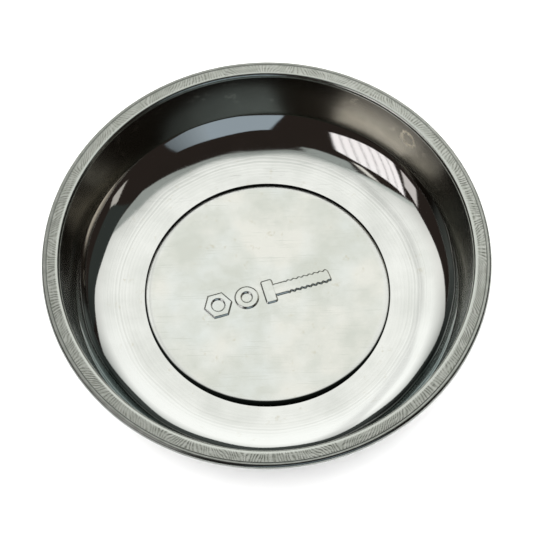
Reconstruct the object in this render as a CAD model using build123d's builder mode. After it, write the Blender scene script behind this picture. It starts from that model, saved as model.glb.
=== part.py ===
"""Round magnetic parts dish: pressed stainless dish, ring magnet and rubber boot, bonded together.

Millimetres, +Z up. The origin is the centre of the boot's underside, on the surface it stands on.
"""
import os
from math import cos, radians, sin

from build123d import *

# Driving dimensions of the dish
DISH_DIAMETER = 150.0
DISH_HEIGHT = 40.0
SHEET = 0.6
FLOOR_Z = 10.5
DISC_FOOT_R = 42.3
DISC_FOOT_FILLET = 0.5
DISC_STEP_ANGLE = 24.0
DISC_SHOULDER = 6.5
FLOOR_FILLET = 22.3
CREASE_ANGLE = 53.0
CREASE_FILLET = 1.5
WALL_FOOT_ANGLE = 74.0
WALL_TOP_ANGLE = 84.0
LIP_R = 70.4
LIP_FILLET = 1.5
FLANGE_DROOP = 6.0
CURL_RADIUS = 1.3
CURL_TURN = 180.0
HEM_LENGTH = 1.8

# Pressed emblem on the raised disc: a nut, a washer and a bolt in a row
EMBLEM_RELIEF = 0.35
EMBLEM_TILT = 15.0
NUT_X = -17.5
NUT_R = 4.8
NUT_BORE_R = 2.4
WASHER_X = -7.2
WASHER_R = 4.0
WASHER_BORE_R = 2.0
BOLT_HEAD_X = -0.6
BOLT_HEAD_LENGTH = 3.8
BOLT_HEAD_WIDTH = 8.4
BOLT_SHANK_END_X = 22.2
BOLT_SHANK_WIDTH = 4.2

# Magnet, boot and the two layers of adhesive
ADHESIVE = 0.3
MAGNET_R = 37.0
MAGNET_BORE_R = 16.0
MAGNET_HEIGHT = 8.0
MAGNET_CHAMFER = 0.6
BOOT_R = 39.3
BOOT_GAP = 0.15
BOOT_EDGE_FILLET = 1.2
SPIGOT_R = 15.6
SPIGOT_HEIGHT = 5.0
GROOVE_DEPTH = 0.8
GROOVE_WIDTH = 1.8
GROOVE_PITCH = 3.6
FIRST_GROOVE_R = 13.6
GROOVE_COUNT = 7

DISC_TOP_Z = FLOOR_Z + (DISC_SHOULDER + DISC_FOOT_FILLET) * (1 - cos(radians(DISC_STEP_ANGLE)))
RECESS_Z = DISC_TOP_Z - SHEET
BOOT_TOP_Z = RECESS_Z - ADHESIVE
BOOT_FLOOR = BOOT_TOP_Z - MAGNET_HEIGHT
BOOT_BORE_R = MAGNET_R + BOOT_GAP


def direction(angle):
    """Unit vector in the section, at an angle above horizontal."""
    return (cos(radians(angle)), sin(radians(angle)))


def left_arc_end(start, heading, radius, turn):
    """Where an arc ends that leaves start at a heading and turns left through turn degrees."""
    to_centre = direction(heading + 90)
    from_centre = direction(heading + turn - 90)
    return (
        start[0] + radius * (to_centre[0] + from_centre[0]),
        start[1] + radius * (to_centre[1] + from_centre[1]),
    )


def dish_section_line():
    """The upper face of the sheet, from the axis out to the hem, in the open BuildLine."""
    step_width = (DISC_SHOULDER + DISC_FOOT_FILLET) * sin(radians(DISC_STEP_ANGLE))
    disc_edge = (DISC_FOOT_R - step_width, DISC_TOP_Z)
    lip_start = left_arc_end((LIP_R, DISH_HEIGHT), 180, LIP_FILLET, WALL_TOP_ANGLE)
    crease_turn = WALL_FOOT_ANGLE - CREASE_ANGLE
    bowl_end = left_arc_end((0, FLOOR_Z), 0, FLOOR_FILLET, CREASE_ANGLE)
    bend_end = left_arc_end(bowl_end, CREASE_ANGLE, CREASE_FILLET, crease_turn)
    wall_foot, wall_top = radians(WALL_FOOT_ANGLE), radians(WALL_TOP_ANGLE)
    wall_radius = (lip_start[1] - bend_end[1]) / (cos(wall_foot) - cos(wall_top))
    wall_width = wall_radius * (sin(wall_top) - sin(wall_foot))
    floor_edge = (lip_start[0] - wall_width - bend_end[0], FLOOR_Z)
    curl_r = DISH_DIAMETER / 2 - CURL_RADIUS * (1 - sin(radians(FLANGE_DROOP)))
    flange_start_r = LIP_R + LIP_FILLET * sin(radians(FLANGE_DROOP))
    flange_length = (curl_r - flange_start_r) / cos(radians(FLANGE_DROOP))

    Line((0, DISC_TOP_Z), disc_edge)
    shoulder = JernArc(disc_edge, (1, 0), DISC_SHOULDER, -DISC_STEP_ANGLE)
    JernArc(shoulder @ 1, shoulder % 1, DISC_FOOT_FILLET, DISC_STEP_ANGLE)
    Line((DISC_FOOT_R, FLOOR_Z), floor_edge)
    bowl = JernArc(floor_edge, (1, 0), FLOOR_FILLET, CREASE_ANGLE)
    bend = JernArc(bowl @ 1, bowl % 1, CREASE_FILLET, crease_turn)
    wall = JernArc(bend @ 1, bend % 1, wall_radius, WALL_TOP_ANGLE - WALL_FOOT_ANGLE)
    lip = JernArc(wall @ 1, wall % 1, LIP_FILLET, -(WALL_TOP_ANGLE + FLANGE_DROOP))
    flange = PolarLine(lip @ 1, flange_length, -FLANGE_DROOP)
    curl = JernArc(flange @ 1, flange % 1, CURL_RADIUS, -CURL_TURN)
    PolarLine(curl @ 1, HEM_LENGTH, direction=curl % 1)


# Dish: one pressed sheet with a raised centre disc, a steep wall and a rolled rim
with BuildPart() as dish:
    with BuildSketch(Plane.XZ):
        with BuildLine() as upper_face:
            dish_section_line()
            offset(amount=SHEET, side=Side.RIGHT)
        make_face()
    revolve(axis=Axis.Z)
    with BuildSketch(Plane.XY.offset(DISC_TOP_Z).rotated((0, 0, EMBLEM_TILT))):
        with Locations((NUT_X, 0)):
            RegularPolygon(radius=NUT_R, side_count=6)
            Circle(NUT_BORE_R, mode=Mode.SUBTRACT)
        with Locations((WASHER_X, 0)):
            Circle(WASHER_R)
            Circle(WASHER_BORE_R, mode=Mode.SUBTRACT)
        with Locations((BOLT_HEAD_X, 0)):
            Rectangle(BOLT_HEAD_LENGTH, BOLT_HEAD_WIDTH, align=(Align.MIN, Align.CENTER))
            Rectangle(
                BOLT_SHANK_END_X - BOLT_HEAD_X, BOLT_SHANK_WIDTH, align=(Align.MIN, Align.CENTER)
            )
    extrude(amount=EMBLEM_RELIEF)
dish.part.label = "dish"

# Ring magnet: pressed ferrite, edges broken all round
with BuildPart() as ring_magnet:
    with BuildSketch(Plane.XY.offset(BOOT_FLOOR)):
        Circle(MAGNET_R)
        Circle(MAGNET_BORE_R, mode=Mode.SUBTRACT)
    extrude(amount=MAGNET_HEIGHT)
    chamfer(ring_magnet.edges().filter_by(GeomType.CIRCLE), MAGNET_CHAMFER)
ring_magnet.part.label = "ring_magnet"

# Adhesive between the magnet and the underside of the raised disc
with BuildPart() as magnet_adhesive:
    with BuildSketch(Plane.XY.offset(BOOT_TOP_Z)):
        Circle(MAGNET_R - MAGNET_CHAMFER)
        Circle(MAGNET_BORE_R + MAGNET_CHAMFER, mode=Mode.SUBTRACT)
    extrude(amount=ADHESIVE)
magnet_adhesive.part.label = "magnet_adhesive"

# Rubber boot: a cup over the magnet, with a spigot in its bore and grip grooves underneath
with BuildPart() as rubber_boot:
    with BuildSketch():
        Circle(BOOT_R)
    extrude(amount=BOOT_TOP_Z)
    with BuildSketch(Plane.XY.offset(BOOT_FLOOR)):
        Circle(BOOT_BORE_R)
        Circle(SPIGOT_R, mode=Mode.SUBTRACT)
    extrude(amount=MAGNET_HEIGHT, mode=Mode.SUBTRACT)
    with BuildSketch(Plane.XY.offset(BOOT_FLOOR + SPIGOT_HEIGHT)):
        Circle(SPIGOT_R + BOOT_GAP)
    extrude(amount=MAGNET_HEIGHT - SPIGOT_HEIGHT, mode=Mode.SUBTRACT)
    with BuildSketch():
        # Outermost groove first, so that each smaller disc leaves the rings outside it alone
        for index in reversed(range(GROOVE_COUNT)):
            inner_r = FIRST_GROOVE_R + index * GROOVE_PITCH
            Circle(inner_r + GROOVE_WIDTH)
            Circle(inner_r, mode=Mode.SUBTRACT)
    extrude(amount=GROOVE_DEPTH, mode=Mode.SUBTRACT)
    fillet(rubber_boot.edges().group_by(Axis.Z)[0].sort_by(SortBy.LENGTH)[-1], BOOT_EDGE_FILLET)
rubber_boot.part.label = "rubber_boot"

# Adhesive between the boot's lip and the underside of the raised disc
with BuildPart() as boot_adhesive:
    with BuildSketch(Plane.XY.offset(BOOT_TOP_Z)):
        Circle(BOOT_R)
        Circle(BOOT_BORE_R, mode=Mode.SUBTRACT)
    extrude(amount=ADHESIVE)
boot_adhesive.part.label = "boot_adhesive"

os.makedirs("parts", exist_ok=True)
for piece in (dish, ring_magnet, magnet_adhesive, rubber_boot, boot_adhesive):
    export_step(piece.part, f"parts/{piece.part.label}.step")
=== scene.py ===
"""Looks for the magnetic parts dish: a pressed steel dish over a ring magnet in a rubber boot."""
import math

import bpy
import numpy as np
from mathutils import Matrix, Vector


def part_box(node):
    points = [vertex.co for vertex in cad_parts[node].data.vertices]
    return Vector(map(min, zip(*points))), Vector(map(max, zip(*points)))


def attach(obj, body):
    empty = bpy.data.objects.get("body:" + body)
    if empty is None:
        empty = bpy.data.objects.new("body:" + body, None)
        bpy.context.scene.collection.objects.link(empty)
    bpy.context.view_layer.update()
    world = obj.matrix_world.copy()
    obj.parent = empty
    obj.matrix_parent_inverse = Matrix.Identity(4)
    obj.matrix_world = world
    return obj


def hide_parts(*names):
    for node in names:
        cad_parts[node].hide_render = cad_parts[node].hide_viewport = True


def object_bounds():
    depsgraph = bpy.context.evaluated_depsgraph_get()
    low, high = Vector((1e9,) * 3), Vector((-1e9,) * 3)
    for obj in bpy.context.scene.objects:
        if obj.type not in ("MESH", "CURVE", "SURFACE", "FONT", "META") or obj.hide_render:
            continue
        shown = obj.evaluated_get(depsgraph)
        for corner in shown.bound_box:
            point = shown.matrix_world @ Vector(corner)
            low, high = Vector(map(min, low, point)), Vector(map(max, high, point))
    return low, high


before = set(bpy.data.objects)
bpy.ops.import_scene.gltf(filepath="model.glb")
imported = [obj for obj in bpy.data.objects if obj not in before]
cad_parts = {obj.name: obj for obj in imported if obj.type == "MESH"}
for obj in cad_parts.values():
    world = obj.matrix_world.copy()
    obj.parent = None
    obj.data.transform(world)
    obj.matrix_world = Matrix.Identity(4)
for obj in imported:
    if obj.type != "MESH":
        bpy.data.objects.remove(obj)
cad_low, cad_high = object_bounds()
dish_low, dish_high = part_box("dish")

MM = 0.001
ROOT = "root"

# Dish section in millimetres, as the CAD model has it
DISH_DIAMETER = 150.0
DISH_HEIGHT = dish_high.z / MM
SHEET = 0.6
FLOOR_Z = dish_low.z / MM + SHEET
DISC_FOOT_R = 42.3
DISC_FOOT_FILLET = 0.5
DISC_STEP_ANGLE = 24.0
DISC_SHOULDER = 6.5
FLOOR_FILLET = 22.3
CREASE_ANGLE = 53.0
CREASE_FILLET = 1.5
WALL_FOOT_ANGLE = 74.0
WALL_TOP_ANGLE = 84.0
LIP_R = 70.4
LIP_FILLET = 1.5
FLANGE_DROOP = 6.0
CURL_RADIUS = 1.3
CURL_TURN = 180.0
HEM_LENGTH = 1.8
STEP_ANGLE = math.radians(DISC_STEP_ANGLE)
DISC_TOP_Z = FLOOR_Z + (DISC_SHOULDER + DISC_FOOT_FILLET) * (1 - math.cos(STEP_ANGLE))
CREASE_Z = FLOOR_Z + FLOOR_FILLET * (1 - math.cos(math.radians(CREASE_ANGLE)))

# Floor's looks: where the turned rings get strong, and where the painted highlight on the near side
# starts
FLOOR_EDGE_R = 47.5
NEAR_HIGHLIGHT_R = 49.0

# Meshes: segments round the axis, the radii of the zipped band round the disc's grid, the grid's
# steps across the emblem, and how much coarser the underside is than the upper face
TURNS = 360
SEAM_R = 38.0
GRID_R = 37.2
EMBLEM_STEP = 0.2
UNDERSIDE_FINENESS = 0.55
UNDERSIDE_RINGS = (20.0, 4.0)

# Emblem on the raised disc, in millimetres along and across its own tilted axes
EMBLEM_TILT = math.radians(15.0)
EMBLEM_RELIEF = 0.5
EMBLEM_EDGE = 0.4
EMBLEM_HALF_LENGTH = 24.6
EMBLEM_HALF_WIDTH = 7.6
NUT_X = -17.6
NUT_HALF_FLATS = 4.2
NUT_BORE_R = 2.3
WASHER_X = -7.4
WASHER_R = 4.0
WASHER_BORE_R = 1.9
HEAD_X = 0.6
HEAD_HALF_LENGTH = 1.9
HEAD_HALF_WIDTH = 4.2
HEAD_CORNER = 0.7
SHANK_X = 12.2
SHANK_HALF_LENGTH = 10.0
SHANK_HALF_WIDTH = 2.1
SHANK_CORNER = 0.8
THREAD_START_X = 7.0
THREAD_PITCH = 1.9
THREAD_DEPTH = 0.21
THREAD_LEAN = 0.25

# Panel that the press left round the emblem: a raised outline with a slight hollow inside it
PANEL_HALF_LENGTH = 24.0
PANEL_HALF_WIDTH = 7.0
PANEL_CORNER = 5.0
OUTLINE_HEIGHT = 0.035
OUTLINE_WIDTH = 0.45
PANEL_DEPTH = 0.03

# Camera, as the photograph was taken: millimetres from the middle of the rim
CAMERA_DISTANCE = 800.0
CAMERA_ELEVATION = math.radians(64.53)
CAMERA_ROLL = math.radians(-1.67)
CAMERA_RIGHT = 0.04
CAMERA_UP = -3.66
LENS = 162.5
SENSOR = 36.0

# Marks that the roller left round the rim: chatter on the flat, and a fine groove inside the bead
ROLLER_MARKS = 420
MARKS_START_R = 70.0
MARKS_MIDDLE_R = 72.0
MARKS_END_R = 73.2
BEAD_START_R = 73.3
BEAD_END_R = 73.7
GROOVE_DARK_R = 73.35
EDGE_DARK_R = 74.4
GROOVE_RADIUS = 0.22
GROOVE_SLOPE = 38.0
GROOVE_INSET = 0.1

# An old rub on the inside of the wall: where it is, in degrees round the axis, in millimetres up
# from the origin, and how wide the worn ring is
SCUFF_ANGLE = 43.0
SCUFF_Z = 32.5
SCUFF_R = 5.2

# Sides of the dish, in degrees round the axis: the wall's side with painted shade, and the rim's side
# with painted light
SHADED_SIDE = 140.0
PAINTED_LIGHT_SIDE = -50.0

# Slight waviness of the pressed sheet, in millimetres
WAVE_HEIGHT = 0.035
DISC_WAVE_HEIGHT = 0.028

# Metres from the dish to the glowing panels round it, and from the middle to the floor's edge
STUDIO = 2.7
FLOOR_HALF = 1.5

# White sheet over the dish, with places as parts of STUDIO: its slope, edges and seam
SHEET_SLOPE = 0.75
SHEET_LEFT = -1.12
SHEET_RIGHT = 0.70
SHEET_FRONT = -0.05
SHEET_RIGHT_FRONT = 0.10
SHEET_FAR = 0.97
HEM_SEAM = -0.14
SEAM_X = -0.235
SEAM_LEAN = 0.1


# ---------------------------------------------------------------- meshes


def unit(angle):
    """Unit vector in the section, at an angle in degrees above horizontal."""
    return np.array((math.cos(math.radians(angle)), math.sin(math.radians(angle))))


class SectionPen:
    """Draws a section as points with normals to the left of its heading, and names each span's zone."""

    def __init__(self, start, heading):
        self.point = np.array(start, float)
        self.heading = heading
        self.points = []
        self.normals = []
        self.zones = []
        self.put("")

    def put(self, zone):
        self.points.append(self.point.copy())
        self.normals.append(unit(self.heading + 90))
        self.zones.append(zone)

    def line(self, length, steps, zone):
        for _ in range(steps):
            self.point = self.point + unit(self.heading) * (length / steps)
            self.put(zone)

    def arc(self, radius, turn, steps, zone):
        """Turns left for a positive turn, and right for a negative one."""
        side = math.copysign(90, turn)
        centre = self.point + unit(self.heading + side) * radius
        for _ in range(steps):
            self.heading += turn / steps
            self.point = centre - unit(self.heading + side) * radius
            self.put(zone)


def arc_end(start, heading, *turns):
    """Where a run of (radius, turn) arcs ends."""
    pen = SectionPen(start, heading)
    for radius, turn in turns:
        pen.arc(radius, turn, 1, "")
    return pen.point


def dish_section(fineness, details):
    """The sheet's upper face as a pen that ran from the grid's seam out to the end of the hem.

    Details are the shallow marks that the tools left in the upper face alone.
    """
    step_width = (DISC_SHOULDER + DISC_FOOT_FILLET) * math.sin(STEP_ANGLE)
    crease_turn = WALL_FOOT_ANGLE - CREASE_ANGLE
    bowl_end = arc_end((0, FLOOR_Z), 0, (FLOOR_FILLET, CREASE_ANGLE), (CREASE_FILLET, crease_turn))
    lip_start = arc_end((LIP_R, DISH_HEIGHT), 180, (LIP_FILLET, WALL_TOP_ANGLE))
    foot, top = math.radians(WALL_FOOT_ANGLE), math.radians(WALL_TOP_ANGLE)
    wall_radius = (lip_start[1] - bowl_end[1]) / (math.cos(foot) - math.cos(top))
    wall_run = wall_radius * (math.sin(top) - math.sin(foot))
    floor_width = lip_start[0] - wall_run - bowl_end[0] - DISC_FOOT_R
    droop = math.radians(FLANGE_DROOP)
    curl_start_r = DISH_DIAMETER / 2 - CURL_RADIUS * (1 - math.sin(droop))

    def steps(count):
        return max(1, round(count * fineness))

    pen = SectionPen((SEAM_R, DISC_TOP_Z), 0)
    pen.line(DISC_FOOT_R - step_width - SEAM_R, steps(2), "bowl")
    pen.arc(DISC_SHOULDER, -DISC_STEP_ANGLE, steps(9), "bowl")
    pen.arc(DISC_FOOT_FILLET, DISC_STEP_ANGLE, steps(4), "bowl")
    pen.line(floor_width, steps(5), "bowl")
    pen.arc(FLOOR_FILLET, CREASE_ANGLE, steps(30), "bowl")
    pen.arc(CREASE_FILLET, crease_turn, steps(6), "wall")
    pen.arc(wall_radius, WALL_TOP_ANGLE - WALL_FOOT_ANGLE, steps(10), "wall")
    pen.arc(LIP_FILLET, -(WALL_TOP_ANGLE + FLANGE_DROOP), steps(12), "rim")
    flange_length = (curl_start_r - pen.point[0]) / math.cos(droop)
    if details:
        groove = 4 * GROOVE_RADIUS * math.sin(math.radians(GROOVE_SLOPE))
        pen.line(flange_length - groove - GROOVE_INSET, 8, "rim")
        pen.arc(GROOVE_RADIUS, -GROOVE_SLOPE, 2, "rim")
        pen.arc(GROOVE_RADIUS, 2 * GROOVE_SLOPE, 4, "rim")
        pen.arc(GROOVE_RADIUS, -GROOVE_SLOPE, 2, "rim")
        pen.line(GROOVE_INSET, 1, "rim")
    else:
        pen.line(flange_length, steps(4), "rim")
    pen.arc(CURL_RADIUS, -CURL_TURN, steps(20), "rim")
    pen.line(HEM_LENGTH, 1, "outside")
    return pen


def revolve(points, normals, first_index):
    """Vertices, normals and quads of a section turned round Z, with each ring after the one before."""
    angles = np.arange(TURNS) * (2 * math.pi / TURNS)
    cosines, sines = np.cos(angles), np.sin(angles)

    def turned(values):
        shape = (len(values), TURNS)
        parts = (
            values[:, :1] * cosines,
            values[:, :1] * sines,
            np.broadcast_to(values[:, 1:], shape),
        )
        return np.stack(parts, -1).reshape(-1, 3)

    quads = []
    for ring in range(len(points) - 1):
        here = first_index + ring * TURNS
        for turn in range(TURNS):
            after = (turn + 1) % TURNS
            quads.append((here + turn, here + TURNS + turn, here + TURNS + after, here + after))
    return turned(points), turned(normals), quads


def make_wavy(vertices, normals, ring_count):
    """Moves the first rings along their normals by soft waves, and turns the normals to suit."""
    place = vertices[: ring_count * TURNS].reshape(ring_count, TURNS, 3)
    facing = normals[: ring_count * TURNS].reshape(ring_count, TURNS, 3)
    angle = np.arctan2(place[..., 1], place[..., 0])
    radius = np.hypot(place[..., 0], place[..., 1])
    waves = (
        np.cos(4 * angle + radius / 4.0)
        + 0.8 * np.cos(7 * angle - radius / 2.3 + 1.0)
        + 0.5 * np.cos(13 * angle + radius / 1.7 + 2.0)
    )
    fade = smooth((radius - DISC_FOOT_R) / 8) * smooth((LIP_R - 3 - radius) / 4)
    lift = WAVE_HEIGHT * waves * fade
    along = np.gradient(place, axis=0)
    run = np.linalg.norm(along, axis=2)
    along /= run[..., None]
    round_step = 2 * math.pi * radius / TURNS
    slope_along = np.gradient(lift, axis=0) / run
    slope_round = (np.roll(lift, -1, 1) - np.roll(lift, 1, 1)) / (2 * round_step)
    tangent = np.stack((-np.sin(angle), np.cos(angle), np.zeros_like(angle)), -1)
    place += facing * lift[..., None]
    facing -= along * slope_along[..., None] + tangent * slope_round[..., None]
    facing /= np.linalg.norm(facing, axis=2)[..., None]


def box_distance(x, y, centre_x, half_x, half_y, corner):
    """Signed distance to a rectangle with rounded corners, centred on the emblem's axis."""
    gap_x = np.abs(x - centre_x) - half_x + corner
    gap_y = np.abs(y) - half_y + corner
    outside = np.hypot(np.maximum(gap_x, 0), np.maximum(gap_y, 0))
    return outside + np.minimum(np.maximum(gap_x, gap_y), 0) - corner


def nut_distance(x, y):
    """Signed distance to a hexagon with a round hole, for points measured from its centre."""
    hexagon = np.full(x.shape, -np.inf)
    for side in range(6):
        angle = math.radians(60 * side + 30)
        hexagon = np.maximum(hexagon, x * math.cos(angle) + y * math.sin(angle) - NUT_HALF_FLATS)
    return np.maximum(hexagon, NUT_BORE_R - np.hypot(x, y))


def emblem_distance(x, y):
    """Signed distance to the emblem: a nut, a washer and a bolt with a threaded shank, in a row."""
    nut = nut_distance(x - NUT_X, y)
    reach = np.hypot(x - WASHER_X, y)
    washer = np.maximum(reach - WASHER_R, WASHER_BORE_R - reach)
    head = box_distance(x, y, HEAD_X, HEAD_HALF_LENGTH, HEAD_HALF_WIDTH, HEAD_CORNER)
    shank = box_distance(x, y, SHANK_X, SHANK_HALF_LENGTH, SHANK_HALF_WIDTH, SHANK_CORNER)
    thread = THREAD_DEPTH * np.cos((x + THREAD_LEAN * y) * (2 * math.pi / THREAD_PITCH))
    shank += np.where(x > THREAD_START_X, thread, 0.0)
    return np.minimum(np.minimum(nut, washer), np.minimum(head, shank))


def smooth(value):
    """0 below 0, 1 above 1, and a smooth step between."""
    clipped = np.clip(value, 0, 1)
    return clipped * clipped * (3 - 2 * clipped)


def disc_height(x, y):
    """Height of the raised disc's top, with its emblem, the panel round it and soft waves."""
    along = x * math.cos(EMBLEM_TILT) + y * math.sin(EMBLEM_TILT)
    across = y * math.cos(EMBLEM_TILT) - x * math.sin(EMBLEM_TILT)
    relief = smooth(0.5 - emblem_distance(along, across) / (2 * EMBLEM_EDGE))
    edge = box_distance(along, across, 0, PANEL_HALF_LENGTH, PANEL_HALF_WIDTH, PANEL_CORNER)
    outline = np.exp(-((edge / OUTLINE_WIDTH) ** 2))
    hollow = smooth(0.5 - edge / 6)
    radius = np.hypot(x, y)
    angle = np.arctan2(y, x)
    fade = smooth((GRID_R - 1 - radius) / 9) * smooth(radius / 12)
    waves = (
        np.cos(3 * angle + 0.6)
        + 0.7 * np.cos(5 * angle - radius / 7)
        + 0.5 * np.cos(angle + radius / 3.1)
    )
    return (
        DISC_TOP_Z
        + EMBLEM_RELIEF * relief
        + OUTLINE_HEIGHT * outline
        - PANEL_DEPTH * hollow
        + DISC_WAVE_HEIGHT * fade * waves
    )


def spaced(dense_half, dense_step, outer_steps):
    """Lines from -1 to 1, close together within dense_half of the middle."""
    dense_count = 2 * round(dense_half / dense_step) + 1
    dense = np.linspace(-dense_half, dense_half, dense_count)
    outer = np.linspace(dense_half, 1, outer_steps + 1)[1:]
    return np.concatenate((-outer[::-1], dense, outer))


def disc_grid():
    """Vertices, normals and quads of the disc's top inside GRID_R, and its border in order."""
    columns = spaced(EMBLEM_HALF_LENGTH / GRID_R, EMBLEM_STEP / GRID_R, 11)
    rows = spaced(EMBLEM_HALF_WIDTH / GRID_R, EMBLEM_STEP / GRID_R, 22)
    u, v = np.meshgrid(columns, rows)
    along = GRID_R * u * np.sqrt(1 - v * v / 2)
    across = GRID_R * v * np.sqrt(1 - u * u / 2)
    x = along * math.cos(EMBLEM_TILT) - across * math.sin(EMBLEM_TILT)
    y = along * math.sin(EMBLEM_TILT) + across * math.cos(EMBLEM_TILT)
    nudge = 0.05
    slope_x = (disc_height(x + nudge, y) - disc_height(x - nudge, y)) / (2 * nudge)
    slope_y = (disc_height(x, y + nudge) - disc_height(x, y - nudge)) / (2 * nudge)
    vertices = np.stack((x, y, disc_height(x, y)), -1).reshape(-1, 3)
    normals = np.stack((-slope_x, -slope_y, np.ones_like(x)), -1).reshape(-1, 3)
    normals /= np.linalg.norm(normals, axis=1)[:, None]
    row_count, column_count = x.shape
    index = np.arange(row_count * column_count).reshape(row_count, column_count)
    quads = np.stack(
        (index[:-1, :-1], index[:-1, 1:], index[1:, 1:], index[1:, :-1]), -1
    ).reshape(-1, 4)
    border = np.concatenate((index[0, :-1], index[:-1, -1], index[-1, :0:-1], index[:0:-1, 0]))
    return vertices, normals, quads.tolist(), border


def zip_rings(inner, outer, vertices):
    """Triangles between two closed rings of vertices that both run anticlockwise."""
    def by_angle(ring):
        values = np.arctan2(vertices[ring, 1], vertices[ring, 0])
        start = int(np.argmin(values))
        order = np.roll(ring, -start)
        return order, np.append(np.roll(values, -start), values[start] + 2 * math.pi)

    inner, inner_angles = by_angle(inner)
    outer, outer_angles = by_angle(outer)
    triangles = []
    near = far = 0
    while near < len(inner) or far < len(outer):
        here, there = inner[near % len(inner)], outer[far % len(outer)]
        outer_done = far >= len(outer)
        if outer_done or (near < len(inner) and inner_angles[near + 1] < outer_angles[far + 1]):
            near += 1
            triangles.append((here, there, inner[near % len(inner)]))
        else:
            far += 1
            triangles.append((here, there, outer[far % len(outer)]))
    return triangles


def new_piece(name, vertices, faces, materials, face_materials, node):
    """A smooth-shaded mesh from vertices in millimetres, which stands for a CAD node."""
    mesh = bpy.data.meshes.new(name)
    mesh.from_pydata((np.asarray(vertices) * MM).tolist(), [], faces)
    for material in materials:
        mesh.materials.append(material)
    mesh.polygons.foreach_set("material_index", np.asarray(face_materials, np.int32))
    mesh.polygons.foreach_set("use_smooth", np.ones(len(mesh.polygons), bool))
    mesh.update()
    piece = bpy.data.objects.new(name, mesh)
    bpy.context.scene.collection.objects.link(piece)
    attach(piece, ROOT)
    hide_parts(node)
    return piece


def make_dish(zone_materials):
    """The whole sheet as one closed mesh: the disc's grid, the turned section and the underside."""
    grid_vertices, grid_normals, grid_quads, border = disc_grid()
    face = dish_section(1.0, True)
    back = dish_section(UNDERSIDE_FINENESS, False)
    points, normals = np.array(face.points), np.array(face.normals)
    under_points = (np.array(back.points) - np.array(back.normals) * SHEET)[::-1]
    under_normals = -np.array(back.normals)[::-1]
    under_z = DISC_TOP_Z - SHEET
    centre_points = np.array([(radius, under_z) for radius in UNDERSIDE_RINGS])
    centre_normals = np.array([(0.0, -1.0) for _ in UNDERSIDE_RINGS])
    path = np.concatenate((points, under_points, centre_points))
    path_normals = np.concatenate((normals, under_normals, centre_normals))
    span_zones = face.zones[1:] + ["outside"] * (len(path) - len(points))

    first = len(grid_vertices)
    turned, turned_normals, quads = revolve(path, path_normals, first)
    make_wavy(turned, turned_normals, len(points))
    middle = first + len(turned)
    vertices = np.concatenate((grid_vertices, turned, ((0, 0, under_z),)))
    vertex_normals = np.concatenate((grid_normals, turned_normals, ((0, 0, -1),)))
    band = zip_rings(border, np.arange(first, first + TURNS), vertices)
    last_ring = middle - TURNS
    fan = [(last_ring + turn, middle, last_ring + (turn + 1) % TURNS) for turn in range(TURNS)]

    names = list(zone_materials)
    zone_of = [names.index("bowl")] * (len(grid_quads) + len(band))
    for zone in span_zones:
        zone_of += [names.index(zone)] * TURNS
    zone_of += [names.index("outside")] * len(fan)
    faces = grid_quads + band + quads + fan
    piece = new_piece(
        "pressed_dish", vertices, faces, zone_materials.values(), zone_of, "dish"
    )
    piece.data.normals_split_custom_set_from_vertices(vertex_normals.tolist())


def repaint(node, material):
    """Gives a CAD node's object one material."""
    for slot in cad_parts[node].material_slots:
        slot.material = material


# ---------------------------------------------------------------- materials


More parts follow.
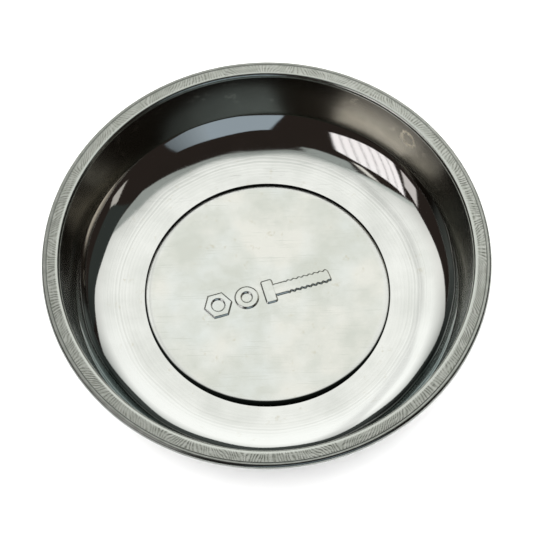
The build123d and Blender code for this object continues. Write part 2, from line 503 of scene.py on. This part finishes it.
class Nodes:
    """A node tree, and short ways to add nodes to it."""

    def __init__(self, tree):
        self.tree = tree

    def node(self, kind, settings=None, **inputs):
        """A node with its own settings, and inputs that are values or other nodes' outputs."""
        made = self.tree.nodes.new(kind)
        for setting, value in (settings or {}).items():
            setattr(made, setting, value)
        for socket, value in inputs.items():
            self.put(made.inputs[socket.replace("_", " ")], value)
        return made

    def put(self, socket, value):
        if isinstance(value, bpy.types.NodeSocket):
            self.tree.links.new(value, socket)
        else:
            socket.default_value = value

    def math(self, operation, *values):
        made = self.node("ShaderNodeMath", {"operation": operation})
        for socket, value in zip(made.inputs, values):
            self.put(socket, value)
        return made.outputs[0]

    def times(self, first, *others):
        for value in others:
            first = self.math("MULTIPLY", first, value)
        return first

    def plus(self, first, *others):
        for value in others:
            first = self.math("ADD", first, value)
        return first

    def minus(self, first, second):
        return self.math("SUBTRACT", first, second)

    def larger(self, first, second):
        return self.math("MAXIMUM", first, second)

    def vector(self, x, y, z):
        return self.node("ShaderNodeCombineXYZ", X=x, Y=y, Z=z).outputs[0]

    def noise(self, vector, scale, detail, roughness):
        made = self.node(
            "ShaderNodeTexNoise", Vector=vector, Scale=scale, Detail=detail, Roughness=roughness
        )
        return made.outputs["Fac"]

    def remap(self, value, low, high, to_low, to_high):
        """value from low..high to to_low..to_high, clamped."""
        made = self.node("ShaderNodeMapRange", {"clamp": True}, Value=value)
        for socket, number in zip(made.inputs[1:5], (low, high, to_low, to_high)):
            self.put(socket, number)
        return made.outputs[0]

    def mix(self, factor, low, high):
        """A number between low and high."""
        made = self.node("ShaderNodeMix", {"data_type": "FLOAT"})
        for socket, value in zip(made.inputs[:1] + made.inputs[2:4], (factor, low, high)):
            self.put(socket, value)
        return made.outputs[0]

    def blend(self, factor, low, high):
        """A colour between low and high."""
        made = self.node("ShaderNodeMix", {"data_type": "RGBA"})
        self.put(made.inputs[0], factor)
        self.put(made.inputs[6], low)
        self.put(made.inputs[7], high)
        return made.outputs[2]

    def position(self):
        """Object coordinates in millimetres."""
        metres = self.node("ShaderNodeTexCoord").outputs["Object"]
        scaled = self.node("ShaderNodeVectorMath", {"operation": "SCALE"}, Scale=1 / MM)
        self.put(scaled.inputs[0], metres)
        return scaled.outputs[0]

    def polar(self, position):
        """A position's distance from the axis, angle round it and height."""
        x, y, z = self.node("ShaderNodeSeparateXYZ", Vector=position).outputs
        radius = self.hypotenuse(x, y)
        return radius, self.math("ARCTAN2", y, x), z

    def hypotenuse(self, x, y):
        return self.math("SQRT", self.plus(self.times(x, x), self.times(y, y)))

    def around(self, angle, reach, third):
        """A vector that runs round a circle of the given radius, so that a noise on it has no seam."""
        across = self.times(self.math("COSINE", angle), reach)
        up = self.times(self.math("SINE", angle), reach)
        return self.vector(across, up, third)

    def bump(self, height, distance):
        """A normal for a height of 0 to 1 that stands for a distance in millimetres."""
        made = self.node("ShaderNodeBump", Height=height, Distance=distance * MM, Strength=1.0)
        return made.outputs[0]


class Shader(Nodes):
    """One material with one Principled BSDF."""

    def __init__(self, name, metallic, roughness=0.5):
        self.material = bpy.data.materials.new(name)
        self.material.use_nodes = True
        super().__init__(self.material.node_tree)
        self.bsdf = self.tree.nodes["Principled BSDF"]
        self.bsdf.inputs["Metallic"].default_value = metallic
        self.bsdf.inputs["Roughness"].default_value = roughness

    def finish(self, **links):
        for socket, value in links.items():
            self.put(self.bsdf.inputs[socket.replace("_", " ")], value)
        return self.material


def steel_colours(shader, position, low, high, scale):
    """Slow patches between two close steel colours."""
    patches = shader.noise(position, scale, 3.0, 0.6)
    return shader.blend(shader.remap(patches, 0.35, 0.65, 0.0, 1.0), low, high)


def scratches(shader, position, angle_degrees, length, width, threshold):
    """Thin straight scratches in one direction, as a mask."""
    mapping = shader.node("ShaderNodeMapping", Vector=position)
    mapping.inputs["Rotation"].default_value = (0, 0, math.radians(angle_degrees))
    mapping.inputs["Scale"].default_value = (1 / length, 1 / width, 1 / length)
    lines = shader.noise(mapping.outputs[0], 1.0, 1.0, 0.4)
    return shader.remap(lines, threshold, threshold + 0.04, 0.0, 1.0)


def pressed_tint(shader, position, grain, cloud, streaks, marks):
    """The disc's tint: soft clouds, warmer in places, with faint streaks and scratches."""
    patches = shader.plus(
        shader.times(streaks, 0.35),
        shader.times(cloud, 0.65),
        shader.times(shader.minus(grain, 0.5), 0.3),
    )
    patches = shader.minus(patches, shader.times(marks, 0.12))
    warmth = shader.remap(shader.noise(position, 0.05, 2.0, 0.5), 0.4, 0.62, 0.0, 1.0)
    bright = shader.blend(warmth, (0.675, 0.70, 0.69, 1), (0.705, 0.70, 0.662, 1))
    return shader.blend(shader.remap(patches, 0.38, 0.6, 0.0, 1.0), (0.575, 0.59, 0.55, 1), bright)


def turned_tint(shader, radius, sine, cloud, fine, ringed):
    """The floor's tint: fine rings, and a painted highlight towards the edge on the near side."""
    rings = shader.times(shader.minus(fine, 0.5), shader.remap(ringed, 0.0, 1.0, 0.15, 2.0))
    rings = shader.plus(shader.times(cloud, 0.5), rings)
    tint = shader.blend(
        shader.remap(rings, 0.12, 0.36, 0.0, 1.0), (0.61, 0.62, 0.60, 1), (0.75, 0.755, 0.74, 1)
    )
    # painted highlight: lighter towards the floor's edge on the near side
    near_highlight = shader.times(
        shader.remap(radius, NEAR_HIGHLIGHT_R, NEAR_HIGHLIGHT_R + 5.0, 0.0, 0.8),
        shader.remap(sine, 0.1, -0.6, 0.0, 1.0),
    )
    return shader.blend(near_highlight, tint, (0.84, 0.85, 0.845, 1))


def corner_tint(shader, z, sine):
    """The polished corner's tint, with a painted dark reflection on the near side that is darkest at the
    foot.
    """
    # painted reflection: on the near side the corner goes nearly black at the foot and bluish grey above
    painted_reflection_mask = shader.remap(sine, -0.5, 0.1, 1.0, 0.0)
    rise = shader.remap(z, FLOOR_Z + 5.0, FLOOR_Z + 7.0, 0.0, 1.0)
    painted_reflection = shader.blend(rise, (0.03, 0.045, 0.04, 1), (0.27, 0.33, 0.335, 1))
    return shader.blend(painted_reflection_mask, (0.69, 0.68, 0.665, 1), painted_reflection)


def step_painted_shade(shader, radius, sine, streaks):
    """Mask of painted shade in the foot of the step: widest on the near side, least at left and right.
    """
    near_more = shader.minus(1.1, shader.times(sine, 0.35))
    spread = shader.plus(
        shader.times(sine, sine, near_more), 0.42, shader.remap(streaks, 0.3, 0.7, -0.15, 0.15)
    )
    inward = shader.minus(DISC_FOOT_R - 0.05, radius)
    return shader.times(
        shader.remap(inward, 0.0, 0.12, 0.0, 1.0),
        shader.remap(shader.minus(inward, spread), 0.0, 0.4, 1.0, 0.0),
    )


def bowl_steel():
    """Bright pressed steel: a satin disc, turned rings on the floor and a mirror in the corner."""
    shader = Shader("bowl_steel", 1.0)
    position = shader.position()
    radius, angle, z = shader.polar(position)
    sine = shader.math("SINE", angle)
    on_disc = shader.remap(radius, DISC_FOOT_R - 1.5, DISC_FOOT_R - 3.0, 0.0, 1.0)
    on_floor = shader.remap(radius, FLOOR_EDGE_R + 10.0, FLOOR_EDGE_R + 5.0, 0.0, 1.0)
    in_corner = shader.remap(z, FLOOR_Z + 2.0, FLOOR_Z + 5.0, 0.0, 1.0)
    ringed = shader.times(on_floor, shader.remap(radius, FLOOR_EDGE_R, FLOOR_EDGE_R + 3.0, 0.12, 1.0))

    grain = shader.noise(position, 5.0, 3.0, 0.65)
    cloud = shader.noise(position, 0.075, 3.0, 0.55)
    streaks = shader.noise(shader.around(angle, 1.6, shader.times(radius, 0.07)), 1.0, 3.0, 0.55)
    drift = shader.noise(shader.around(angle, 2.5, shader.times(radius, 0.12)), 1.0, 1.0, 0.5)
    ring_at = shader.plus(radius, shader.times(drift, 2.0))
    fine = shader.noise(shader.vector(ring_at, 0.0, 0.0), 1.5, 4.0, 0.8)
    marks = shader.larger(
        scratches(shader, position, 35, 16, 0.3, 0.69),
        scratches(shader, position, -62, 12, 0.28, 0.7),
    )
    marks = shader.times(marks, on_floor)

    height = shader.times(fine, shader.minus(ringed, shader.times(on_disc, 0.2)))
    height = shader.plus(height, shader.times(grain, 0.2))
    height = shader.minus(height, shader.times(marks, 0.5))

    mirror = shader.remap(grain, 0.3, 0.7, 0.03, 0.05)
    turned = shader.remap(fine, 0.3, 0.7, 0.14, 0.2)
    satin = shader.remap(grain, 0.3, 0.7, 0.17, 0.24)
    roughness = shader.mix(on_disc, shader.mix(on_floor, mirror, turned), satin)

    floor = turned_tint(shader, radius, sine, cloud, fine, ringed)
    tint = shader.blend(on_disc, floor, pressed_tint(shader, position, grain, cloud, streaks, marks))
    stains = shader.remap(shader.noise(position, 0.2, 4.0, 0.72), 0.62, 0.72, 0.0, 0.4)
    tint = shader.blend(shader.times(stains, on_floor), tint, (0.5, 0.46, 0.34, 1))
    tint = shader.blend(in_corner, tint, corner_tint(shader, z, sine))
    # painted shade: a nearly black band in the foot of the step
    dark_band = step_painted_shade(shader, radius, sine, streaks)
    return shader.finish(
        Base_Color=shader.blend(dark_band, tint, (0.008, 0.01, 0.009, 1)),
        Roughness=shader.mix(dark_band, roughness, 0.3),
        Normal=shader.bump(height, 0.012),
    )


def wall_tint(shader, position, angle, z):
    """The wall's tint: steel darker than the bowl's, with painted shade at its foot and lip, on one
    side, and on the near side.
    """
    # painted shade: this steel is a darker copy of the bowl's
    plain = steel_colours(shader, position, (0.42, 0.395, 0.325, 1), (0.48, 0.455, 0.38, 1), 0.08)
    # painted shade on the near side
    near = shader.remap(shader.math("SINE", angle), -0.45, 0.1, 1.0, 0.0)
    plain = shader.blend(shader.times(near, 0.8), plain, (0.11, 0.145, 0.14, 1))
    # painted shade on one side of the wall
    toward_shaded_side = shader.math("COSINE", shader.minus(angle, math.radians(SHADED_SIDE)))
    side_shade = shader.remap(toward_shaded_side, 0.2, 0.9, 0.0, 0.62)
    # painted shade at the wall's foot, more on the near side, and towards the lip
    foot = shader.remap(z, CREASE_Z, CREASE_Z + 3.0, 0.75, 0.0)
    foot = shader.times(foot, shader.mix(near, 1.0, 0.3))
    lip = shader.remap(z, DISH_HEIGHT - 14.0, DISH_HEIGHT - 3.0, 0.0, 0.65)
    return shader.blend(shader.larger(side_shade, shader.larger(foot, lip)), plain, (0, 0, 0, 1))


def old_rub(shader, position, angle, z, speckle):
    """Mask of a ragged worn ring on the wall."""
    along = shader.times(shader.minus(angle, math.radians(SCUFF_ANGLE)), LIP_R)
    reach = shader.hypotenuse(along, shader.minus(z, SCUFF_Z))
    ragged = shader.times(shader.noise(position, 0.7, 4.0, 0.7), 4.5)
    off_ring = shader.math("ABSOLUTE", shader.minus(shader.plus(reach, ragged), SCUFF_R))
    rub = shader.remap(off_ring, 0.3, 0.8, 1.0, 0.0)
    return shader.times(rub, shader.remap(speckle, 0.38, 0.5, 0.4, 1.0))


def wall_steel():
    """Upright wall: polished, with faint drawing marks, a few dull scuffs and an old rub."""
    shader = Shader("wall_steel", 1.0)
    position = shader.position()
    _, angle, z = shader.polar(position)
    brushed = shader.noise(shader.around(angle, 12.0, shader.times(z, 5.0)), 1.0, 3.0, 0.6)
    speckle = shader.noise(position, 3.5, 3.0, 0.7)
    scuffs = shader.remap(shader.noise(position, 0.16, 4.0, 0.7), 0.62, 0.68, 0.0, 1.0)
    scuffs = shader.times(scuffs, shader.remap(speckle, 0.4, 0.6, 0.0, 1.0))
    rub = old_rub(shader, position, angle, z, speckle)
    worn = shader.larger(shader.times(scuffs, 0.3), rub)
    polish = shader.remap(speckle, 0.3, 0.7, 0.12, 0.17)
    return shader.finish(
        Base_Color=shader.blend(worn, wall_tint(shader, position, angle, z), (0.92, 0.85, 0.7, 1)),
        Roughness=shader.mix(rub, shader.mix(scuffs, polish, 0.22), 0.45),
        Normal=shader.bump(shader.plus(brushed, shader.times(speckle, 0.3)), 0.0015),
    )


def roller_strokes(shader, radius, angle):
    """Mask of the short slanting strokes that the roller cut, deeper in some places than in others."""
    lean = shader.noise(shader.around(angle, 3.0, 0.0), 1.0, 1.0, 0.5)
    slant = shader.remap(lean, 0.34, 0.66, -7.5, 7.5)
    jitter = shader.noise(shader.around(angle, 14.0, shader.times(radius, 0.1)), 1.0, 2.0, 0.5)
    wave = shader.plus(
        shader.times(angle, float(ROLLER_MARKS)),
        shader.times(slant, shader.minus(radius, MARKS_MIDDLE_R)),
        shader.times(jitter, 26.0),
    )
    stroke = shader.remap(shader.math("SINE", wave), -0.3, 0.9, 0.0, 1.0)
    patch = shader.noise(shader.around(angle, 11.0, shader.times(radius, 1.1)), 1.0, 3.0, 0.65)
    return shader.times(stroke, shader.remap(patch, 0.36, 0.6, 0.25, 1.0))


def rim_tint(shader, position, radius, angle):
    """The rim's tint: painted light on one side, painted shade on the bead and round towards -X, a
    painted highlight on the lip, and darker in the groove and at the curl's outer edge.
    """
    plain = steel_colours(shader, position, (0.43, 0.445, 0.41, 1), (0.53, 0.54, 0.51, 1), 0.4)
    # painted light: lighter on one side of the flat
    toward_lit_side = shader.math("COSINE", shader.minus(angle, math.radians(PAINTED_LIGHT_SIDE)))
    lift = shader.times(
        shader.remap(toward_lit_side, 0.2, 1.0, 0.0, 0.18),
        shader.remap(radius, BEAD_START_R, BEAD_END_R, 1.0, 0.0),
    )
    # painted shade: darker on the bead, and darker round towards -X
    shade = shader.times(
        shader.remap(radius, BEAD_START_R, BEAD_END_R, 1.0, 0.66),
        shader.remap(shader.math("COSINE", angle), -1.0, 1.0, 0.82, 1.08),
        shader.plus(1.0, lift),
    )
    plain = shader.blend(shade, (0, 0, 0, 1), plain)
    # painted highlight along the lip's rounded edge
    lip_highlight = shader.times(
        shader.remap(radius, LIP_R - 0.9, LIP_R - 0.6, 0.0, 1.0),
        shader.remap(radius, LIP_R - 0.3, LIP_R + 0.1, 1.0, 0.0),
    )
    plain = shader.blend(lip_highlight, plain, (0.54, 0.56, 0.53, 1))
    # darker in the groove and at the curl's outer edge
    off_groove = shader.math("ABSOLUTE", shader.minus(radius, GROOVE_DARK_R))
    dark_band = shader.larger(
        shader.remap(off_groove, 0.1, 0.3, 0.6, 0.0),
        shader.remap(radius, EDGE_DARK_R, EDGE_DARK_R + 0.4, 0.0, 0.5),
    )
    return shader.blend(dark_band, plain, (0.03, 0.04, 0.035, 1))


def rim_steel():
    """Rolled rim: smooth at both edges, with slanting roller marks on the flat between them."""
    shader = Shader("rim_steel", 1.0)
    position = shader.position()
    radius, angle, z = shader.polar(position)
    marked = shader.times(
        shader.remap(radius, MARKS_START_R, MARKS_START_R + 0.7, 0.0, 1.0),
        shader.remap(radius, MARKS_END_R, MARKS_END_R + 0.3, 1.0, 0.0),
        shader.remap(z, DISH_HEIGHT - 1.2, DISH_HEIGHT - 0.8, 0.0, 1.0),
    )
    grain = shader.noise(position, 2.6, 3.0, 0.75)
    cut = shader.times(roller_strokes(shader, radius, angle), marked)
    specks = shader.times(shader.remap(grain, 0.56, 0.7, 0.0, 0.6), marked)
    dark = shader.times(shader.larger(cut, specks), 0.8)
    tint = rim_tint(shader, position, radius, angle)
    return shader.finish(
        Base_Color=shader.blend(dark, tint, (0.17, 0.175, 0.15, 1)),
        Roughness=shader.mix(marked, 0.18, shader.remap(grain, 0.3, 0.7, 0.3, 0.45)),
        Normal=shader.bump(shader.minus(shader.times(grain, 0.5, marked), cut), 0.09),
    )


def outside_steel():
    """Outer face: drawn satin with faint upright drawing marks, in steel darker than the bowl's: painted
    shade.
    """
    shader = Shader("outside_steel", 1.0)
    position = shader.position()
    _, angle, z = shader.polar(position)
    drawn = shader.noise(shader.around(angle, 70.0, shader.times(z, 0.12)), 1.0, 3.0, 0.6)
    grain = shader.noise(position, 2.0, 3.0, 0.6)
    height = shader.plus(drawn, shader.times(grain, 0.4))
    # painted shade: a darker copy of the bowl's steel, so the bright floor's reflection doesn't wash it
    # out
    return shader.finish(
        Base_Color=steel_colours(shader, position, (0.36, 0.355, 0.34, 1), (0.44, 0.435, 0.42, 1), 0.08),
        Roughness=shader.remap(drawn, 0.3, 0.7, 0.2, 0.32),
        Normal=shader.bump(height, 0.008),
    )


def boot_rubber():
    """Moulded black rubber with a fine matt grain and paler scuffs."""
    shader = Shader("boot_rubber_black", 0.0)
    position = shader.position()
    grain = shader.noise(position, 5.0, 4.0, 0.7)
    wear = shader.remap(shader.noise(position, 0.25, 4.0, 0.65), 0.5, 0.75, 0.0, 1.0)
    return shader.finish(
        Base_Color=shader.blend(wear, (0.018, 0.018, 0.02, 1), (0.05, 0.05, 0.052, 1)),
        Roughness=shader.remap(grain, 0.3, 0.7, 0.55, 0.75),
        Normal=shader.bump(grain, 0.03),
    )


def ferrite():
    """Sintered ferrite: dark grey and finely porous."""
    shader = Shader("ferrite_grey", 0.0)
    position = shader.position()
    pores = shader.noise(position, 3.0, 5.0, 0.75)
    return shader.finish(
        Base_Color=shader.blend(pores, (0.03, 0.03, 0.032, 1), (0.09, 0.09, 0.095, 1)),
        Roughness=shader.remap(pores, 0.3, 0.7, 0.5, 0.8),
        Normal=shader.bump(pores, 0.04),
    )


def adhesive():
    """Cured adhesive: yellowish, with trapped bubbles."""
    shader = Shader("adhesive_cured", 0.0)
    position = shader.position()
    bubbles = shader.noise(position, 0.8, 3.0, 0.6)
    return shader.finish(
        Base_Color=shader.blend(bubbles, (0.42, 0.38, 0.28, 1), (0.62, 0.58, 0.48, 1)),
        Roughness=shader.remap(bubbles, 0.3, 0.7, 0.3, 0.5),
        Normal=shader.bump(bubbles, 0.02),
    )


# ---------------------------------------------------------------- studio


class Glow(Nodes):
    """One material that only gives off light."""

    def __init__(self, name):
        self.material = bpy.data.materials.new(name)
        self.material.use_nodes = True
        super().__init__(self.material.node_tree)
        self.tree.nodes.clear()

    def finish(self, colour, strength):
        emission = self.node("ShaderNodeEmission", Color=(*colour, 1), Strength=strength)
        self.node("ShaderNodeOutputMaterial", Surface=emission.outputs[0])
        return self.material


def panel(name, corners, material):
    """A flat glowing sheet that the dish reflects and the camera doesn't see."""
    mesh = bpy.data.meshes.new(name)
    mesh.from_pydata([Vector(corner) for corner in corners], [], [tuple(range(len(corners)))])
    mesh.materials.append(material)
    sheet = bpy.data.objects.new(name, mesh)
    bpy.context.scene.collection.objects.link(sheet)
    sheet.visible_camera = False
    sheet.visible_shadow = False


def sky(azimuth, elevation):
    """A point of the studio in a direction from the dish; azimuth runs anticlockwise from +X."""
    turn, rise = math.radians(azimuth), math.radians(elevation)
    level = math.cos(rise)
    return Vector((math.cos(turn) * level, math.sin(turn) * level, math.sin(rise))) * STUDIO


def sheet_point(x, y):
    """A point of the white sheet, which slopes from over the dish down to the floor behind it."""
    return Vector((x, y, SHEET_SLOPE * (1 - y))) * STUDIO


def sheet_glow():
    """Light of the white sheet: dimmer towards its hem and sides, and along the seam."""
    glow = Glow("sheet_glow")
    place = glow.node("ShaderNodeTexCoord").outputs["Object"]
    across, back, _ = glow.node("ShaderNodeSeparateXYZ", Vector=place).outputs
    x = glow.math("DIVIDE", across, STUDIO)
    y = glow.math("DIVIDE", back, STUDIO)
    off_seam = glow.math("ABSOLUTE", glow.plus(x, -SEAM_X, glow.times(y, -SEAM_LEAN)))
    strength = glow.times(
        glow.remap(y, SHEET_FRONT, 0.22, 0.78, 1.0),
        glow.remap(x, -1.05, -0.45, 0.82, 1.0),
        glow.remap(x, 0.1, 0.76, 1.0, 0.8),
        glow.remap(off_seam, 0.03, 0.07, 0.78, 1.0),
        1.19,
    )
    return glow.finish((0.99, 1.0, 0.965), strength)


def overhead():
    """White sheet that slopes from over the dish to the floor behind it, with a grey hem in front."""
    corners = (
        sheet_point(SHEET_LEFT, SHEET_FRONT),
        sheet_point(0.0, SHEET_FRONT),
        sheet_point(SHEET_RIGHT, SHEET_RIGHT_FRONT),
        sheet_point(0.66, SHEET_FAR),
        sheet_point(-0.80, SHEET_FAR),
    )
    panel("sheet", corners, sheet_glow())
    hems = (
        ("hem_left", SHEET_LEFT, HEM_SEAM, -0.10, SHEET_FRONT, 0.62),
        ("hem_right", HEM_SEAM, SHEET_RIGHT, -0.155, SHEET_RIGHT_FRONT, 0.42),
    )
    for name, left, right, front, right_y, strength in hems:
        corners = (
            sheet_point(left, front),
            sheet_point(right, front),
            sheet_point(right, right_y),
            sheet_point(left, SHEET_FRONT),
        )
        panel(name, corners, Glow(name).finish((0.93, 1.0, 0.95), strength))


def window(name, directions, colour, strength, count=1, gap=0.0, fade=0.0):
    """A glowing window of upright strips with dark bars between them, dimmer by fade at its last.

    Directions are its two low corners from left to right, then its two high ones from right to left.
    """
    low_left, low_right, high_right, high_left = (sky(*direction) for direction in directions)
    for index in range(count):
        start = (index + gap / 2) / count
        end = (index + 1 - gap / 2) / count
        panel(
            f"{name}_{index}",
            (
                low_left.lerp(low_right, start),
                low_left.lerp(low_right, end),
                high_left.lerp(high_right, end),
                high_left.lerp(high_right, start),
            ),
            Glow(name).finish(colour, strength * (1 - fade * index / count)),
        )


def windows():
    """The room's lit openings, with corners as azimuth and elevation in degrees."""
    window(
        "window_left", ((207, 17), (238, 27), (225, 54), (187, 42)),
        (1.0, 0.97, 0.98), 1.3, count=7, gap=0.1,
    )
    window("window_side", ((192, 17), (203, 16), (194, 32), (183, 33)), (1.0, 0.96, 0.94), 0.75)
    window("window_back", ((260, 13), (296, 11), (298, 42), (266, 45)), (0.74, 0.89, 1.0), 0.5)
    window(
        "window_edge", ((296, 11), (316, 14), (314, 38), (298, 42)),
        (0.74, 0.88, 0.97), 0.48, count=8, fade=0.6,
    )
    window("window_right", ((-22, 20), (-12, 18), (-3, 27), (-10, 30)), (1.0, 0.97, 0.9), 0.55)
    window("screen", ((-9, 24), (40, 10), (32, 34), (-6, 47)), (0.85, 1.0, 0.93), 0.045)
    window("card", ((214, 59), (240, 70), (220, 78), (198, 66)), (0.92, 1.0, 0.95), 0.4)
    window("shard", ((208, 54.5), (214, 56.5), (196, 60), (191, 57)), (1.0, 0.97, 0.9), 0.9)


def fill():
    """Soft light for the floor alone: steel doesn't reflect it."""
    data = bpy.data.lights.new("fill", "AREA")
    data.shape = "SQUARE"
    data.size = 3.0
    data.energy = 160
    light = bpy.data.objects.new("fill", data)
    light.location = (0, -0.3, 2.2)
    light.visible_glossy = False
    light.visible_camera = False
    bpy.context.scene.collection.objects.link(light)


def surroundings():
    """Dim brown room in reflections, and white behind the floor where the camera looks past it."""
    world = bpy.data.worlds.new("surroundings")
    world.use_nodes = True
    world.node_tree.nodes.clear()
    nodes = Nodes(world.node_tree)
    seen = nodes.node("ShaderNodeLightPath").outputs["Is Camera Ray"]
    room = nodes.node("ShaderNodeBackground", Color=(0.026, 0.020, 0.017, 1)).outputs[0]
    paper = nodes.node("ShaderNodeBackground", Color=(1, 1, 1, 1)).outputs[0]
    chosen = nodes.node("ShaderNodeMixShader")
    for socket, value in zip(chosen.inputs, (seen, room, paper)):
        nodes.put(socket, value)
    nodes.node("ShaderNodeOutputWorld", Surface=chosen.outputs[0])
    bpy.context.scene.world = world


def make_floor():
    """White paper under the dish."""
    shader = Shader("floor_paper", 0.0, 0.9)
    fibre = shader.noise(shader.position(), 0.05, 2.0, 0.5)
    paper = shader.blend(fibre, (0.93, 0.93, 0.93, 1), (0.95, 0.95, 0.95, 1))
    mesh = bpy.data.meshes.new("floor")
    ends = ((-1, -1), (1, -1), (1, 1), (-1, 1))
    mesh.from_pydata([(x * FLOOR_HALF, y * FLOOR_HALF, cad_low.z) for x, y in ends], [], [(0, 1, 2, 3)])
    mesh.materials.append(shader.finish(Base_Color=paper))
    floor = bpy.data.objects.new("floor", mesh)
    bpy.context.scene.collection.objects.link(floor)


def make_camera():
    """The photograph's camera: aimed just beside the middle of the rim, and slightly rolled."""
    back = Vector((0, -math.cos(CAMERA_ELEVATION), math.sin(CAMERA_ELEVATION)))
    level_right = Vector((1, 0, 0))
    level_up = level_right.cross(-back)
    right = level_right * math.cos(CAMERA_ROLL) + level_up * math.sin(CAMERA_ROLL)
    up = level_up * math.cos(CAMERA_ROLL) - level_right * math.sin(CAMERA_ROLL)
    data = bpy.data.cameras.new("camera")
    data.lens = LENS
    data.sensor_width = SENSOR
    data.clip_start = 0.01
    data.clip_end = 50
    camera = bpy.data.objects.new("camera", data)
    bpy.context.scene.collection.objects.link(camera)
    rim_middle = Vector((0, 0, DISH_HEIGHT * MM))
    camera.location = rim_middle + (back * CAMERA_DISTANCE + right * CAMERA_RIGHT + up * CAMERA_UP) * MM
    camera.rotation_mode = "QUATERNION"
    turn = np.array((right, up, back)).T
    camera.rotation_quaternion = Matrix(turn.tolist()).to_quaternion()
    bpy.context.scene.camera = camera


make_dish(
    {
        "bowl": bowl_steel(),
        "wall": wall_steel(),
        "rim": rim_steel(),
        "outside": outside_steel(),
    }
)


repaint("rubber_boot", boot_rubber())
repaint("ring_magnet", ferrite())
glue = adhesive()
repaint("magnet_adhesive", glue)
repaint("boot_adhesive", glue)

make_floor()
overhead()
windows()
fill()
surroundings()
make_camera()
bpy.context.scene.view_settings.view_transform = "Standard"
